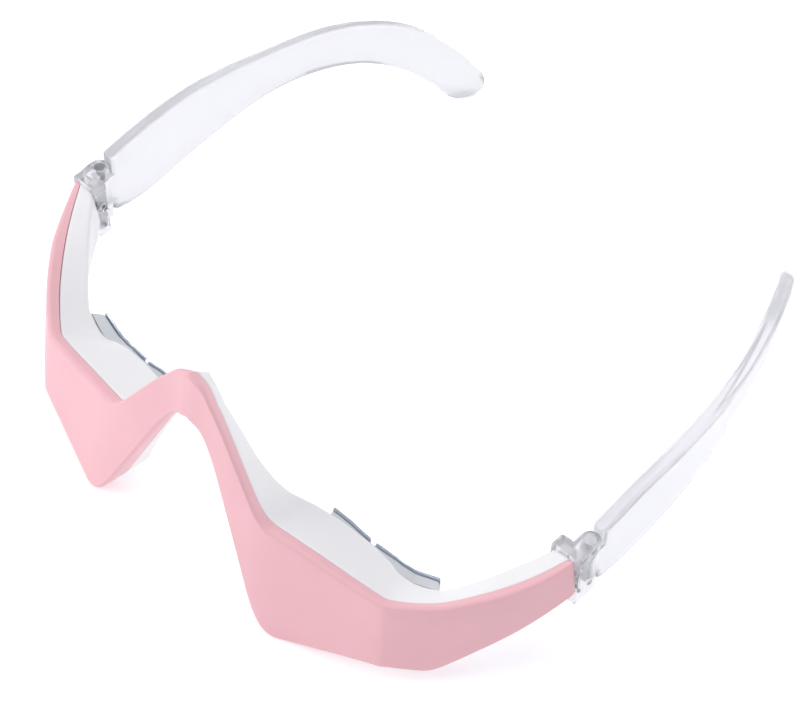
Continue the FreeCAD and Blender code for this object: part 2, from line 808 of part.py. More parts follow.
def temple_arm(side):
    blade = arm_side_view().extrude(V(200, 0, 0))
    plan = arm_plan()
    plan.translate(V(0, 0, -100))
    blade = blade.common(plan.extrude(V(0, 0, 200)))
    long_edges = [edge for edge in blade.Edges if edge.Length > 5]
    blade = blade.makeFillet(arm_round, long_edges)
    web = box_between((pin_x - arm_thickness / 2, pin_y, knuckle_bottom),
                      (pin_x + arm_thickness / 2, arm_front + 1.5 * arm_round, knuckle_top))
    arm = blade.fuse([web, upright(knuckle_radius, knuckle_bottom, knuckle_top)])
    arm = arm.cut(upright(pin_radius + pin_clearance, knuckle_bottom - 1, knuckle_top + 1))
    return on_side(arm.removeSplitter().common(above_floor()), side)


def make_parts():
    parts = {
        "front_cover": front_cover(),
        "rear_shell": rear_shell(),
        "electrode_studs": electrode_studs(),
        "shell_screws": shell_screws(),
        "main_board": main_board(),
        "board_chips": board_chips(),
        "board_screws": board_screws(),
        "charging_port": charging_port(),
        "port_tongue": port_tongue(),
        "power_button": power_button(),
        "switch_plunger": switch_plunger(),
        "switch_body": switch_body(),
        "status_light": status_light(),
        "status_light_pipe": status_light_pipe(),
        "battery": battery(),
        "battery_tape": battery_tape(),
        "bridge_ribbon": bridge_ribbon(),
        "hinge_screws": hinge_screws(),
        "hinge_dowels": hinge_dowels(),
    }
    for name, side in (("right", right), ("left", left)):
        parts[name + "_electrode_pad"] = electrode_pad(side)
        parts[name + "_inner_plate"] = electrode_plate(side, pad_from, plate_split - plate_gap)
        parts[name + "_outer_plate"] = electrode_plate(side, plate_split + plate_gap, pad_to)
        parts[name + "_vibration_motor"] = vibration_motor(side)
        parts[name + "_hinge_block"] = hinge_block(side)
        parts[name + "_hinge_pin"] = hinge_pin(side)
        parts[name + "_temple_arm"] = temple_arm(side)
    return parts


def seat(parts):
    """Stand the mask on z = 0 with its outline centred fore and aft."""
    boxes = [parts[name].optimalBoundingBox() for name in ("front_cover", "right_temple_arm")]
    middle = (min(box.YMin for box in boxes) + max(box.YMax for box in boxes)) / 2
    shift = V(0, -middle, -rest_height)
    for shape in parts.values():
        shape.translate(shift)
    return shift


def main():
    parts = make_parts()
    shift = seat(parts)
    os.makedirs("parts", exist_ok=True)
    for name, shape in sorted(parts.items()):
        shape.exportStep("parts/" + name + ".step")
    pin = V(pin_x, pin_y, 0) + shift
    print("hinge axis x", round(pin.x, 3), "y", round(pin.y, 3))
    print("moved by", round(shift.y, 3), round(shift.z, 3))
    press = facet_placement().Rotation.multVec(V(0, 0, 1))
    print("button travel along", [round(value, 5) for value in press])


main()
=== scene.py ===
import json
import math

import bpy
import bmesh
import numpy as np
from mathutils import Matrix, Vector


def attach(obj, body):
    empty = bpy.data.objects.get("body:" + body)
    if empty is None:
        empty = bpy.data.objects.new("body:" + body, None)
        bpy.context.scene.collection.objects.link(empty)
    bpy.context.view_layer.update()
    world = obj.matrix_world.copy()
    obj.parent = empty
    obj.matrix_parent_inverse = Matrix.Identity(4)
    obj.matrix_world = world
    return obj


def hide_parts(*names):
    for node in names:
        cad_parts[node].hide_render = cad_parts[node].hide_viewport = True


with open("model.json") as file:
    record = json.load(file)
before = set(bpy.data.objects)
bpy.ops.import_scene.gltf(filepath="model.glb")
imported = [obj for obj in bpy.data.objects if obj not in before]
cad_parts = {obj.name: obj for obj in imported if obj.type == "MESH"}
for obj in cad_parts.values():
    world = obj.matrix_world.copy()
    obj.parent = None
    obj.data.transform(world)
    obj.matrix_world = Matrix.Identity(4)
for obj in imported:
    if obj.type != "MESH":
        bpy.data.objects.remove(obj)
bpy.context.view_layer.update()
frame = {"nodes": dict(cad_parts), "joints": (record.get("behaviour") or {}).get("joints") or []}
mm = 0.001
right, left = 1, -1

# The shells' shape, in millimetres. Places along the frame run from 0 at the nose, over 1 at the
# crease between front and side, to 2 at the frame's end. Each corner of a line is a place,
# a height, and how far its rounding reaches.
shellShape = {
    "halfWidth": 75.0, "noseReach": 40.9, "creaseX": 49.0, "creaseReach": 26.7,
    "sideBow": 2.0, "noseRound": 3.0, "creaseRound": 0.022,
    "lean": [(0, 0.295), (1, 0.295), (1.2, 0.265), (2, 0.265)],
    "topLine": [(0, 26.9, 0), (0.10, 25.4, 0.05), (0.20, 18.3, 0.05), (0.437, -2.3, 0.05),
                (1, -9.0, 0.04), (1.25, -8.6, 0.1), (1.8, -3.2, 0.1), (2, 0.0, 0)],
    "bottomLine": [(0, 12.2, 0), (0.09, 10.9, 0.04), (0.16, 5.7, 0.04), (0.476, -34.3, 0.08),
                   (1, -28.3, 0.06), (1.25, -29.5, 0.06), (2, -10.4, 0)],
    "backTopLine": [(0, 21.8, 0), (0.08, 20.5, 0.04), (0.17, 15.4, 0.05), (0.40, -5.5, 0.06),
                    (0.72, -9.8, 0.06), (1.1, -16.8, 0.1), (1.3, -15.0, 0.1), (2, -0.8, 0)],
    "backBottomLine": [(0, 15.2, 0), (0.10, 13.2, 0.04), (0.17, 8.0, 0.04), (0.476, -30.2, 0.05),
                       (1, -26.0, 0.06), (1.25, -27.0, 0.06), (2, -10.0, 0)],
    "backTopDepth": [(0, 11.3), (0.17, 9.4), (0.30, 8.9), (0.40, 9.9), (0.56, 10.9), (0.70, 10.7),
                     (0.96, 9.2), (1.1, 6.8), (1.3, 4.2), (2, 4.2)],
    "backBottomDepth": [(0, 9.8), (0.17, 7.2), (0.28, 5.2), (0.40, 3.6), (0.50, 3.4), (0.9, 2.6),
                        (1.25, 1.0), (1.5, 2.2), (1.7, 3.4), (1.9, 5.4), (2, 5.8)],
    "turn": [(0, 0), (0.15, 16.2), (0.85, 16.2), (1, 30.2), (1.5, 46.0), (2, 90.0)],
    # How far the cover wraps back: along the top wall, its rise there, and along the underside
    "rimTop": [(0, 2.8), (1.6, 2.8), (2, 1.4)],
    "rimRise": [(0, 0.6), (0.4, 0.8), (1.5, 1.0), (2, 0.2)],
    "rimLow": [(0, 4.5), (0.10, 4.8), (0.30, 5.6), (0.45, 6.2), (0.56, 2.9), (1.6, 2.8), (2, 1.4)],
    "restHeight": -32.6, "pinBehindEnd": 6.0, "facetPlace": 0.735,
}
hinge = next(joint for joint in frame["joints"] if joint["name"] == "right_temple_fold")
lift = Vector((0, hinge["pos_m"][1] / mm - shellShape["pinBehindEnd"], -shellShape["restHeight"]))


def linear(knots, place):
    return float(np.interp(place, [knot[0] for knot in knots], [knot[1] for knot in knots]))


def rounded(knots, place):
    value = linear(knots, place)
    for before, corner, after in zip(knots, knots[1:], knots[2:]):
        reach = corner[2]
        if abs(place - corner[0]) < reach:  # a parabola turns the corner
            riseIn = (corner[1] - before[1]) / (corner[0] - before[0])
            riseOut = (after[1] - corner[1]) / (after[0] - corner[0])
            value += (riseOut - riseIn) * (reach - abs(place - corner[0])) ** 2 / (4 * reach)
    return value


def outlinePoint(place):
    # Brow-level outline of the cover's face, with the crease turned by a small parabola
    shape = shellShape
    slope = (shape["noseReach"] - shape["creaseReach"]) / shape["creaseX"]
    runX, runY = shape["halfWidth"] - shape["creaseX"], shape["creaseReach"]
    chord = math.hypot(runX, runY)
    bowStart = 4 * shape["sideBow"] / chord
    if place <= 1:
        x = shape["creaseX"] * place
        y = -shape["noseReach"] + slope * math.hypot(x, shape["noseRound"])
    else:
        share = place - 1
        bow = bowStart * share * (1 - share)
        x = shape["creaseX"] + runX * share + bow * runY
        y = -runY * (1 - share) - bow * runX
    reach = shape["creaseRound"]
    if abs(place - 1) < reach:
        turnX = runX + bowStart * runY - shape["creaseX"]
        turnY = runY - bowStart * runX - slope * shape["creaseX"]
        share = (reach - abs(place - 1)) ** 2 / (4 * reach)
        x, y = x + turnX * share, y + turnY * share
    return x, y


def inSection(place, depth, height):
    # A point at a depth and a height in the cross-section; a negative place is the left side
    turn = math.radians(linear(shellShape["turn"], abs(place)))
    x, y = outlinePoint(abs(place))
    x, y = x - math.sin(turn) * depth, y + math.cos(turn) * depth
    height = max(height, shellShape["restHeight"])
    return Vector((-x if place < 0 else x, y, height)) + lift


def wallCorners(place):
    place, shape = abs(place), shellShape
    top, bottom = rounded(shape["topLine"], place), rounded(shape["bottomLine"], place)
    lean = linear(shape["lean"], place)
    backTop = (linear(shape["backTopDepth"], place), rounded(shape["backTopLine"], place))
    backBottom = (linear(shape["backBottomDepth"], place), rounded(shape["backBottomLine"], place))
    frontTop = (top * lean - linear(shape["rimTop"], place), top + linear(shape["rimRise"], place))
    return frontTop, (bottom * lean, bottom), backBottom, backTop


def offsetLine(first, second, distance):
    run = (second[0] - first[0], second[1] - first[1])
    size = math.hypot(*run)
    return (first[0] - run[1] / size * distance, first[1] + run[0] / size * distance), run


def crossing(one, other):
    (px, py), (ux, uy) = one
    (qx, qy), (vx, vy) = other
    share = ((qx - px) * vy - (qy - py) * vx) / (ux * vy - uy * vx)
    return px + ux * share, py + uy * share


def seamLine(place, gap):
    # Where the cover ends and the rear shell begins, moved back by a gap
    (topDepth, top), (lowDepth, low) = wallCorners(place)[:2]
    place, shape = abs(place), shellShape
    topCorner = topDepth + linear(shape["rimTop"], place), top - linear(shape["rimRise"], place)
    return offsetLine(topCorner, (lowDepth + linear(shape["rimLow"], place), low), gap)


def softLoop(corners, steps=7, support=0.35):
    # A closed outline whose corners are arcs; each arc has a support point before and after it
    points = []
    for index, (corner, radius) in enumerate(corners):
        corner = Vector(corner)
        before, after = Vector(corners[index - 1][0]), Vector(corners[(index + 1) % len(corners)][0])
        inward, outward = before - corner, after - corner
        half = inward.angle(outward) / 2
        reach = min(radius / math.tan(half), 0.4 * inward.length, 0.4 * outward.length)
        weight = math.sin(half)
        start, end = corner + inward.normalized() * reach, corner + outward.normalized() * reach
        points.append(start + inward.normalized() * min(support, 0.2 * inward.length))
        for step in range(steps + 1):
            u = step / steps
            parts = (1 - u) ** 2, 2 * u * (1 - u) * weight, u ** 2
            points.append((start * parts[0] + corner * parts[1] + end * parts[2]) / sum(parts))
        points.append(end + outward.normalized() * min(support, 0.2 * outward.length))
    return points


def addPiece(name, points, faces, sharpFrom=32):
    # A mesh from points in millimetres, merged, with its faces turned outwards
    mesh = bpy.data.meshes.new(name)
    mesh.from_pydata([point * mm for point in points], [], faces)
    bm = bmesh.new()
    bm.from_mesh(mesh)
    bmesh.ops.remove_doubles(bm, verts=bm.verts, dist=2e-7)
    bmesh.ops.recalc_face_normals(bm, faces=bm.faces)
    bm.to_mesh(mesh)
    bm.free()
    mesh.polygons.foreach_set("use_smooth", [True] * len(mesh.polygons))
    mesh.set_sharp_from_angle(angle=math.radians(sharpFrom))
    piece = bpy.data.objects.new(name, mesh)
    bpy.context.scene.collection.objects.link(piece)
    return piece


def placesAlong(low, high, spacing, *fine):
    # Evenly spaced places, with closer ones round each place named in fine
    places = set(np.linspace(low, high, max(2, round((high - low) / spacing) + 1)).tolist())
    for centre, reach, count in fine:
        near = np.linspace(centre - reach, centre + reach, count)
        places |= {float(place) for place in near if low < place < high}
    ordered = sorted(places)
    kept = [ordered[0]]
    for place in ordered[1:-1]:
        if place - kept[-1] > 0.0008 and high - place > 0.0008:
            kept.append(place)
    return kept + [high]


def mirroredPlaces(places):
    return [-place for place in reversed(places[1:])] + places


def endInset(place, shape):
    # How far the walls draw in where a shell's end is rounded
    start = 2 - shape["endReach"]
    share = max(0.0, (abs(place) - start) / shape["endReach"])
    return shape["endRound"] * (1 - math.sqrt(max(0.0, 1 - share * share)))


def channelPiece(name, places, loopAt, outerCount, solidFrom):
    # A shell that is hollow up to solidFrom and solid from there to both ends
    index, points, faces = {}, [], []
    rows = [loopAt(place) for place in places]
    count = len(rows[0])

    def vertex(row, column):
        key = row, column % count
        if key not in index:
            index[key] = len(points)
            points.append(rows[row][column % count])
        return index[key]

    solidRing = list(range(outerCount)) + [outerCount, count - 1]
    for row in range(len(places) - 1):
        hollow = max(abs(places[row]), abs(places[row + 1])) <= solidFrom + 1e-9
        ring = list(range(count)) if hollow else solidRing
        for here, there in zip(ring, ring[1:] + ring[:1]):
            faces.append((vertex(row, here), vertex(row, there),
                          vertex(row + 1, there), vertex(row + 1, here)))
    for row, place in enumerate(places):
        if abs(abs(place) - solidFrom) < 1e-9:
            faces.append([vertex(row, column) for column in range(outerCount, count)])
    for row in (0, len(places) - 1):
        faces.append([vertex(row, column) for column in solidRing])
    return addPiece(name, points, faces)


coverShape = {
    "wall": 1.6, "topRound": 1.15, "bottomRound": 1.0, "lipRound": 0.22,
    "innerRound": 0.4, "endRound": 0.9, "endReach": 0.024, "hollowTo": 1.8, "steps": 7,
}


def coverLoop(place):
    shape = coverShape
    frontTop, frontBottom, backBottom, backTop = wallCorners(place)
    drawn, wall = endInset(place, shape), shape["wall"]
    face = offsetLine(frontTop, frontBottom, drawn)
    floor = offsetLine(frontBottom, backBottom, drawn)
    ceiling = offsetLine(backTop, frontTop, drawn)
    rim = seamLine(place, 0)
    innerFace = offsetLine(frontTop, frontBottom, wall)
    innerFloor = offsetLine(frontBottom, backBottom, wall)
    innerCeiling = offsetLine(backTop, frontTop, wall)
    lip, inner = shape["lipRound"], shape["innerRound"]
    outerRing = [(crossing(rim, ceiling), lip), (crossing(ceiling, face), shape["topRound"]),
                 (crossing(face, floor), shape["bottomRound"]), (crossing(floor, rim), lip)]
    innerRing = [(crossing(rim, innerFloor), lip), (crossing(innerFloor, innerFace), inner),
                 (crossing(innerFace, innerCeiling), inner), (crossing(innerCeiling, rim), lip)]
    loop = softLoop(outerRing + innerRing, shape["steps"])
    return [inSection(place, *point) for point in loop]


def framePlaces(hollowTo, endReach):
    fine = [(1.0, 0.03, 13), (0, 0.06, 13), (0.476, 0.085, 13), (0.437, 0.05, 7), (0.2, 0.05, 7),
            (hollowTo, 0.0005, 3), (2 - endReach / 2, endReach / 2, 9)]
    places = placesAlong(0, hollowTo, 0.0125, *fine)
    return mirroredPlaces(places + placesAlong(hollowTo, 2, 0.0125, *fine)[1:])


def makeCover():
    shape = coverShape
    perCorner = shape["steps"] + 3
    places = framePlaces(shape["hollowTo"], shape["endReach"])
    cover = channelPiece("cover", places, coverLoop, 4 * perCorner, shape["hollowTo"])
    print("cover:", len(cover.data.polygons), "faces")
    return cover


rearShape = {
    "wall": 1.5, "seamGap": 0.1, "backTopRound": 1.3, "backBottomRound": 1.2, "lipRound": 0.3,
    "innerRound": 0.4, "endRound": 0.5, "endReach": 0.014, "hollowTo": 1.8, "steps": 7,
    "tongue": ((71.2, 0.0, -14.0), (73.2, 3.1, -2.6)), "tongueRound": 0.25,
}


def rearLoop(place):
    shape = rearShape
    frontTop, frontBottom, backBottom, backTop = wallCorners(place)
    drawn, wall = endInset(place, shape), shape["wall"]
    floor = offsetLine(frontBottom, backBottom, drawn)
    ceiling = offsetLine(backTop, frontTop, drawn)
    skin = offsetLine(backBottom, backTop, drawn)
    seam = seamLine(place, shape["seamGap"])
    innerSkin = offsetLine(backBottom, backTop, wall)
    innerFloor = offsetLine(frontBottom, backBottom, wall)
    innerCeiling = offsetLine(backTop, frontTop, wall)
    lip, inner = shape["lipRound"], shape["innerRound"]
    outerRing = [(crossing(floor, seam), lip), (crossing(floor, skin), shape["backBottomRound"]),
                 (crossing(skin, ceiling), shape["backTopRound"]), (crossing(ceiling, seam), lip)]
    innerRing = [(crossing(innerCeiling, seam), lip), (crossing(innerCeiling, innerSkin), inner),
                 (crossing(innerSkin, innerFloor), inner), (crossing(innerFloor, seam), lip)]
    loop = softLoop(outerRing + innerRing, shape["steps"])
    return [inSection(place, *point) for point in loop]


def joinInto(piece, *others):
    for other in others:
        bm = bmesh.new()
        bm.from_mesh(piece.data)
        bm.from_mesh(other.data)
        bm.to_mesh(piece.data)
        bm.free()
        bpy.data.objects.remove(other)
    return piece


def softBlock(name, low, high, radius):
    # A block with bevelled edges, between two corners in millimetres
    bm = bmesh.new()
    bmesh.ops.create_cube(bm, size=1)
    low, high = Vector(low), Vector(high)
    for vertex in bm.verts:
        vertex.co = Vector(l + (h - l) * (c + 0.5) for l, h, c in zip(low, high, vertex.co))
    bmesh.ops.bevel(bm, geom=bm.edges[:], offset=radius, segments=3, profile=0.5, affect="EDGES")
    bm.verts.index_update()
    points = [vertex.co + lift for vertex in bm.verts]
    faces = [[vertex.index for vertex in face.verts] for face in bm.faces]
    bm.free()
    return addPiece(name, points, faces)


def hullPrism(name, node, axis, grow, low, high):
    # The outline of a CAD node along an axis, grown a little and drawn out into a prism
    axis = Vector(axis).normalized()
    side = axis.orthogonal().normalized()
    other = axis.cross(side)
    spots = sorted({(round(v.co.dot(side) / mm, 4), round(v.co.dot(other) / mm, 4))
                    for v in frame["nodes"][node].data.vertices})

    def chain(ordered):
        kept = []
        for x, y in ordered:
            while len(kept) > 1 and ((kept[-1][0] - kept[-2][0]) * (y - kept[-2][1])
                                     - (kept[-1][1] - kept[-2][1]) * (x - kept[-2][0])) <= 0:
                kept.pop()
            kept.append((x, y))
        return kept[:-1]

    hull = [Vector(spot) for spot in chain(spots) + chain(spots[::-1])]
    ring = []
    for index, spot in enumerate(hull):
        along = (hull[(index + 1) % len(hull)] - hull[index - 1]).normalized()
        ring.append(spot + Vector((along.y, -along.x)) * grow)
    ends = [v.co.dot(axis) / mm for v in frame["nodes"][node].data.vertices]
    points = [side * x + other * y + axis * (height + end)
              for height, end in ((low, min(ends)), (high, max(ends))) for x, y in ring]
    count = len(ring)
    faces = [list(range(count)), list(range(count, 2 * count))]
    faces += [(k, (k + 1) % count, (k + 1) % count + count, k + count) for k in range(count)]
    return addPiece(name, points, faces)


def cutAway(piece, cutters):
    for cutter in cutters:
        cut = piece.modifiers.new("cut", "BOOLEAN")
        cut.object, cut.operation, cut.solver = cutter, "DIFFERENCE", "EXACT"
    bpy.context.view_layer.update()
    graph = bpy.context.evaluated_depsgraph_get()
    mesh = bpy.data.meshes.new_from_object(piece.evaluated_get(graph))
    piece.modifiers.clear()
    piece.data = mesh
    for cutter in cutters:
        bpy.data.objects.remove(cutter)
    mesh.polygons.foreach_set("use_smooth", [True] * len(mesh.polygons))
    mesh.set_sharp_from_angle(angle=math.radians(32))
    return piece


def makeRearShell():
    shape = rearShape
    perCorner = shape["steps"] + 3
    places = framePlaces(shape["hollowTo"], shape["endReach"])
    shell = channelPiece("rearShell", places, rearLoop, 4 * perCorner, shape["hollowTo"])
    press = next(j for j in frame["joints"] if j["name"] == "power_button_press")["axis"]
    openings = [("charging_port", 0.15), ("power_button", 0.15), ("status_light_pipe", 0.1)]
    cutters = [hullPrism("cut" + node, node, press, gap, -3, 1.2) for node, gap in openings]
    cutAway(shell, cutters)
    (x0, y0, z0), (x1, y1, z1) = shape["tongue"]
    tongues = [softBlock("tongue", (min(x0 * s, x1 * s), y0, z0), (max(x0 * s, x1 * s), y1, z1),
                         shape["tongueRound"]) for s in (right, left)]
    joinInto(shell, *tongues)
    print("rear shell:", len(shell.data.polygons), "faces")
    return shell


padShape = {
    "begin": 0.60, "end": 1.28, "margin": 1.6, "clearance": 0.12, "round": 0.9, "steps": 5,
    "height": [(0.60, 4.0), (0.68, 4.4), (0.77, 4.6), (0.86, 4.7), (0.94, 4.9), (1.0, 5.3),
               (1.06, 5.0), (1.15, 4.1), (1.28, 3.4)],
    "topLine": [(0.56, -11.0, 0), (0.8, -17.0, 0.08), (1.05, -19.2, 0.08), (1.3, -16.2, 0)],
    "endRound": 0.7, "endReach": 0.02,
}
plateShape = {
    "split": 0.8, "gap": 0.012, "thickness": 0.6, "edge": 0.5, "overhang": 0.3, "seat": 0.03,
    "round": 0.25, "steps": 5, "endRound": 0.25, "endReach": 0.009,
}


def skinPoint(place, up, out):
    # A point by its distance up the skin side from its lower edge, and out from the face
    (lowDepth, lowHeight), (highDepth, highHeight) = wallCorners(place)[2:]
    size = math.hypot(highDepth - lowDepth, highHeight - lowHeight)
    run = ((highDepth - lowDepth) / size, (highHeight - lowHeight) / size)
    return inSection(place, lowDepth + run[0] * up + run[1] * out,
                     lowHeight + run[1] * up - run[0] * out)


def padHeight(place):
    return linear(padShape["height"], place)


def padTop(place):
    (lowDepth, lowHeight), (highDepth, highHeight) = wallCorners(place)[2:]
    size = math.hypot(highDepth - lowDepth, highHeight - lowHeight)
    rise, out = (highHeight - lowHeight) / size, (highDepth - lowDepth) / size
    height = rounded(padShape["topLine"], place)
    return (height - lowHeight + out * padHeight(place)) / rise


def stripPiece(name, begin, end, shape, edges, side):
    # A bar along the skin side; edges gives its bottom, top, low and high at a place
    fine = [(begin, shape["endReach"], 15), (end, shape["endReach"], 15), (1.0, 0.03, 7)]
    places = placesAlong(begin, end, 0.0125, *fine)
    rows = []
    for place in places:
        near = min(place - begin, end - place)
        share = max(0.0, 1 - near / shape["endReach"])
        drawn = shape["endRound"] * (1 - math.sqrt(max(0.0, 1 - share * share)))
        bottom, top, low, high = edges(place)
        bottom, top, high = bottom + drawn, top - drawn, high - drawn
        corners = [((bottom, low), 0.05), ((top, low), 0.05),
                   ((top, high), shape["round"]), ((bottom, high), shape["round"])]
        loop = softLoop(corners, shape["steps"], 0.2)
        rows.append([skinPoint(side * place, *point) for point in loop])
    count = len(rows[0])
    points = [point for row in rows for point in row]
    faces = [list(range(count)), list(range(len(points) - count, len(points)))]
    for row in range(len(rows) - 1):
        for here in range(count):
            there = (here + 1) % count
            faces.append((row * count + here, row * count + there,
                          (row + 1) * count + there, (row + 1) * count + here))
    return addPiece(name, points, faces)


def padEdges(place):
    return padShape["margin"], padTop(place), padShape["clearance"], padHeight(place)


def plateEdges(place):
    shape = plateShape
    return (padShape["margin"] + shape["edge"], padTop(place) + shape["overhang"],
            padHeight(place) + shape["seat"], padHeight(place) + shape["thickness"])


def makePadsAndPlates():
    made = {}
    split, gap = plateShape["split"], plateShape["gap"]
    spans = {"inner_plate": (padShape["begin"], split - gap),
             "outer_plate": (split + gap, padShape["end"])}
    for word, side in (("right", right), ("left", left)):
        pad = stripPiece(word + "Pad", padShape["begin"], padShape["end"], padShape, padEdges,
                         side)
        made[word + "_electrode_pad"] = pad
        for name, (begin, end) in spans.items():
            plate = stripPiece(word + name.split("_")[0].title() + "Plate", begin, end,
                               plateShape, plateEdges, side)
            made[word + "_" + name] = plate
    print("pads and plates:", len(made))
    return made


class Value:
    # A node's output socket; an expression on values adds the Math nodes that it needs
    def __init__(self, finish, socket):
        self.finish, self.socket = finish, socket

    def math(self, operation, first, second=0.0):
        return self.finish.node("ShaderNodeMath", {"operation": operation}, {0: first, 1: second})

    def __add__(self, other):
        return self.math("ADD", self, other)

    def __mul__(self, other):
        return self.math("MULTIPLY", self, other)

    def __rsub__(self, other):
        return self.math("SUBTRACT", other, self)

    __radd__, __rmul__ = __add__, __mul__


class Finish:
    # A material: its Principled shader's fixed numbers, and the nodes that feed it
    def __init__(self, name, **fixed):
        self.material = bpy.data.materials.new(name)
        self.material.use_nodes = True
        self.tree = self.material.node_tree
        self.shader = self.tree.nodes["Principled BSDF"]
        for socket, value in fixed.items():
            self.feed(self.shader.inputs[socket.replace("_", " ")], value)
        self.place = self.node("ShaderNodeTexCoord", {}, {}, "Object")

    def node(self, kind, settings, inputs, output=0):
        made = self.tree.nodes.new(kind)
        for name, value in settings.items():
            if name == "stops":
                self.setStops(made.color_ramp, value)
            else:
                setattr(made, name, value)
        for key, value in inputs.items():
            self.feed(made.inputs[key], value)
        return Value(self, made.outputs[output])

    def setStops(self, ramp, stops):
        while len(ramp.elements) < len(stops):
            ramp.elements.new(0.5)
        for element, (position, colour) in zip(ramp.elements, stops):
            element.position, element.color = position, (*colour, 1)

    def feed(self, socket, value):
        if isinstance(value, Value):
            self.tree.links.new(value.socket, socket)
        elif socket.type == "RGBA" and len(value) == 3:
            socket.default_value = (*value, 1)
        else:
            socket.default_value = value

    def stretched(self, scale):
        return self.node("ShaderNodeMapping", {}, {"Vector": self.place, "Scale": scale})

    def noise(self, scale, detail=2.0, vector=None):
        inputs = {"Vector": vector or self.place, "Scale": scale, "Detail": detail}
        return self.node("ShaderNodeTexNoise", {}, inputs)

    def ramp(self, value, low, high):
        settings = {"stops": [(low, (0, 0, 0)), (high, (1, 1, 1))]}
        return self.node("ShaderNodeValToRGB", settings, {0: value})

    def blend(self, share, first, second):
        return self.node("ShaderNodeMix", {"data_type": "RGBA"}, {0: share, 6: first, 7: second}, 2)

    def colour(self, value):
        self.feed(self.shader.inputs["Base Color"], value)
        return self

    def rough(self, value):
        self.feed(self.shader.inputs["Roughness"], value)
        return self

    def bump(self, height, strength, distance):
        inputs = {"Height": height, "Strength": strength, "Distance": distance}
        bumped = self.node("ShaderNodeBump", {}, inputs)
        self.feed(self.shader.inputs["Normal"], bumped)
        return self


def tinted(colour, share):
    return tuple(channel * share for channel in colour)


coverFinish = {"colour": (0.875, 0.50, 0.54), "shade": 0.955, "clouds": 60, "grain": 5200,
               "rough": 0.46, "roughSpread": 0.10, "grainDepth": 0.00002}


def softTouchPink():
    look = coverFinish
    made = Finish("softTouchPink", Sheen_Weight=0.12, Sheen_Roughness=0.45, Specular_IOR_Level=0.35,
                  IOR=1.46)
    clouds, grain = made.noise(look["clouds"], 3), made.noise(look["grain"], 2)
    made.colour(made.blend(made.ramp(clouds, 0.3, 0.7), tinted(look["colour"], look["shade"]),
                           look["colour"]))
    made.rough(grain * look["roughSpread"] + look["rough"])
    return made.bump(grain, 0.22, look["grainDepth"]).material


shellFinish = {"colour": (0.89, 0.885, 0.89), "shade": 0.965, "clouds": 45, "grain": 3800,
               "rough": 0.30, "roughSpread": 0.09, "grainDepth": 0.000012}


def satinWhite(name="satinWhite", look=shellFinish):
    made = Finish(name, IOR=1.5, Specular_IOR_Level=0.45)
    clouds, grain = made.noise(look["clouds"], 3), made.noise(look["grain"], 2)
    made.colour(made.blend(made.ramp(clouds, 0.35, 0.7), tinted(look["colour"], look["shade"]),
                           look["colour"]))
    made.rough(grain * look["roughSpread"] + look["rough"])
    return made.bump(grain, 0.18, look["grainDepth"]).material


padFinish = {"colour": (0.66, 0.675, 0.70), "shade": 0.95, "clouds": 90, "grain": 4200,
             "rough": 0.36, "roughSpread": 0.08, "grainDepth": 0.000015}
plateFinish = {"colour": (0.70, 0.75, 0.83), "dark": (0.60, 0.66, 0.75), "stretch": (90, 90, 4200),
               "rough": 0.2, "roughSpread": 0.12, "grainDepth": 0.000006}


def polishedPlate():
    look = plateFinish
    made = Finish("polishedPlate", Metallic=1.0)
    strokes = made.noise(1.0, 3, made.stretched(look["stretch"]))
    made.colour(made.blend(strokes, look["dark"], look["colour"]))
    made.rough(strokes * look["roughSpread"] + look["rough"])
    return made.bump(strokes, 0.12, look["grainDepth"]).material


clearFinish = {"colour": (0.93, 0.93, 0.95), "clear": 0.66, "ripple": 260, "rough": 0.06,
               "roughSpread": 0.03, "rippleDepth": 0.00003}


def clearPlastic(name="clearPlastic", look=clearFinish):
    # Injection-moulded clear plastic: a faint ripple and a few duller spots
    made = Finish(name, Transmission_Weight=look["clear"], IOR=1.2)
    ripple, spots = made.noise(look["ripple"], 2), made.noise(900, 2)
    made.colour(made.blend(ripple, tinted(look["colour"], 0.985), look["colour"]))
    made.rough(made.ramp(spots, 0.55, 0.8) * look["roughSpread"] + look["rough"])
    return made.bump(ripple, 0.25, look["rippleDepth"]).material


steelFinish = {"bright": (0.60, 0.61, 0.63), "dark": (0.42, 0.43, 0.45), "turning": 6500,
               "rough": 0.24, "roughSpread": 0.16}


def steel(name="steel", look=steelFinish):
    made = Finish(name, Metallic=1.0)
    marks, stains = made.noise(look["turning"], 3), made.noise(500, 3)
    made.colour(made.blend(made.ramp(stains, 0.35, 0.75), look["dark"], look["bright"]))
    made.rough(marks * look["roughSpread"] + look["rough"])
    return made.bump(marks, 0.15, 0.000008).material


boardFinish = {"mask": (0.012, 0.11, 0.055), "trace": (0.03, 0.20, 0.09), "pitch": 950,
               "pad": (0.75, 0.60, 0.28), "padScale": 520.0, "wander": 6.0, "rough": 0.32,
               "roughSpread": 0.15, "traceDepth": 0.00002}


def circuitBoard():
    look = boardFinish
    made = Finish("circuitBoard", Coat_Weight=0.3, Coat_Roughness=0.2)
    settings = {"wave_type": "BANDS", "bands_direction": "DIAGONAL"}
    waves = made.node("ShaderNodeTexWave", settings,
                      {"Vector": made.place, "Scale": look["pitch"], "Distortion": look["wander"],
                       "Detail": 2.0, "Detail Scale": 0.4})
    spots = made.node("ShaderNodeTexVoronoi", {}, {"Vector": made.place, "Scale": look["padScale"]})
    traces = made.blend(made.ramp(waves, 0.62, 0.7), look["mask"], look["trace"])
    made.colour(made.blend(made.ramp(1 - spots, 0.86, 0.9), traces, look["pad"]))
    made.rough(made.noise(1200) * look["roughSpread"] + look["rough"])
    return made.bump(waves, 0.1, look["traceDepth"]).material


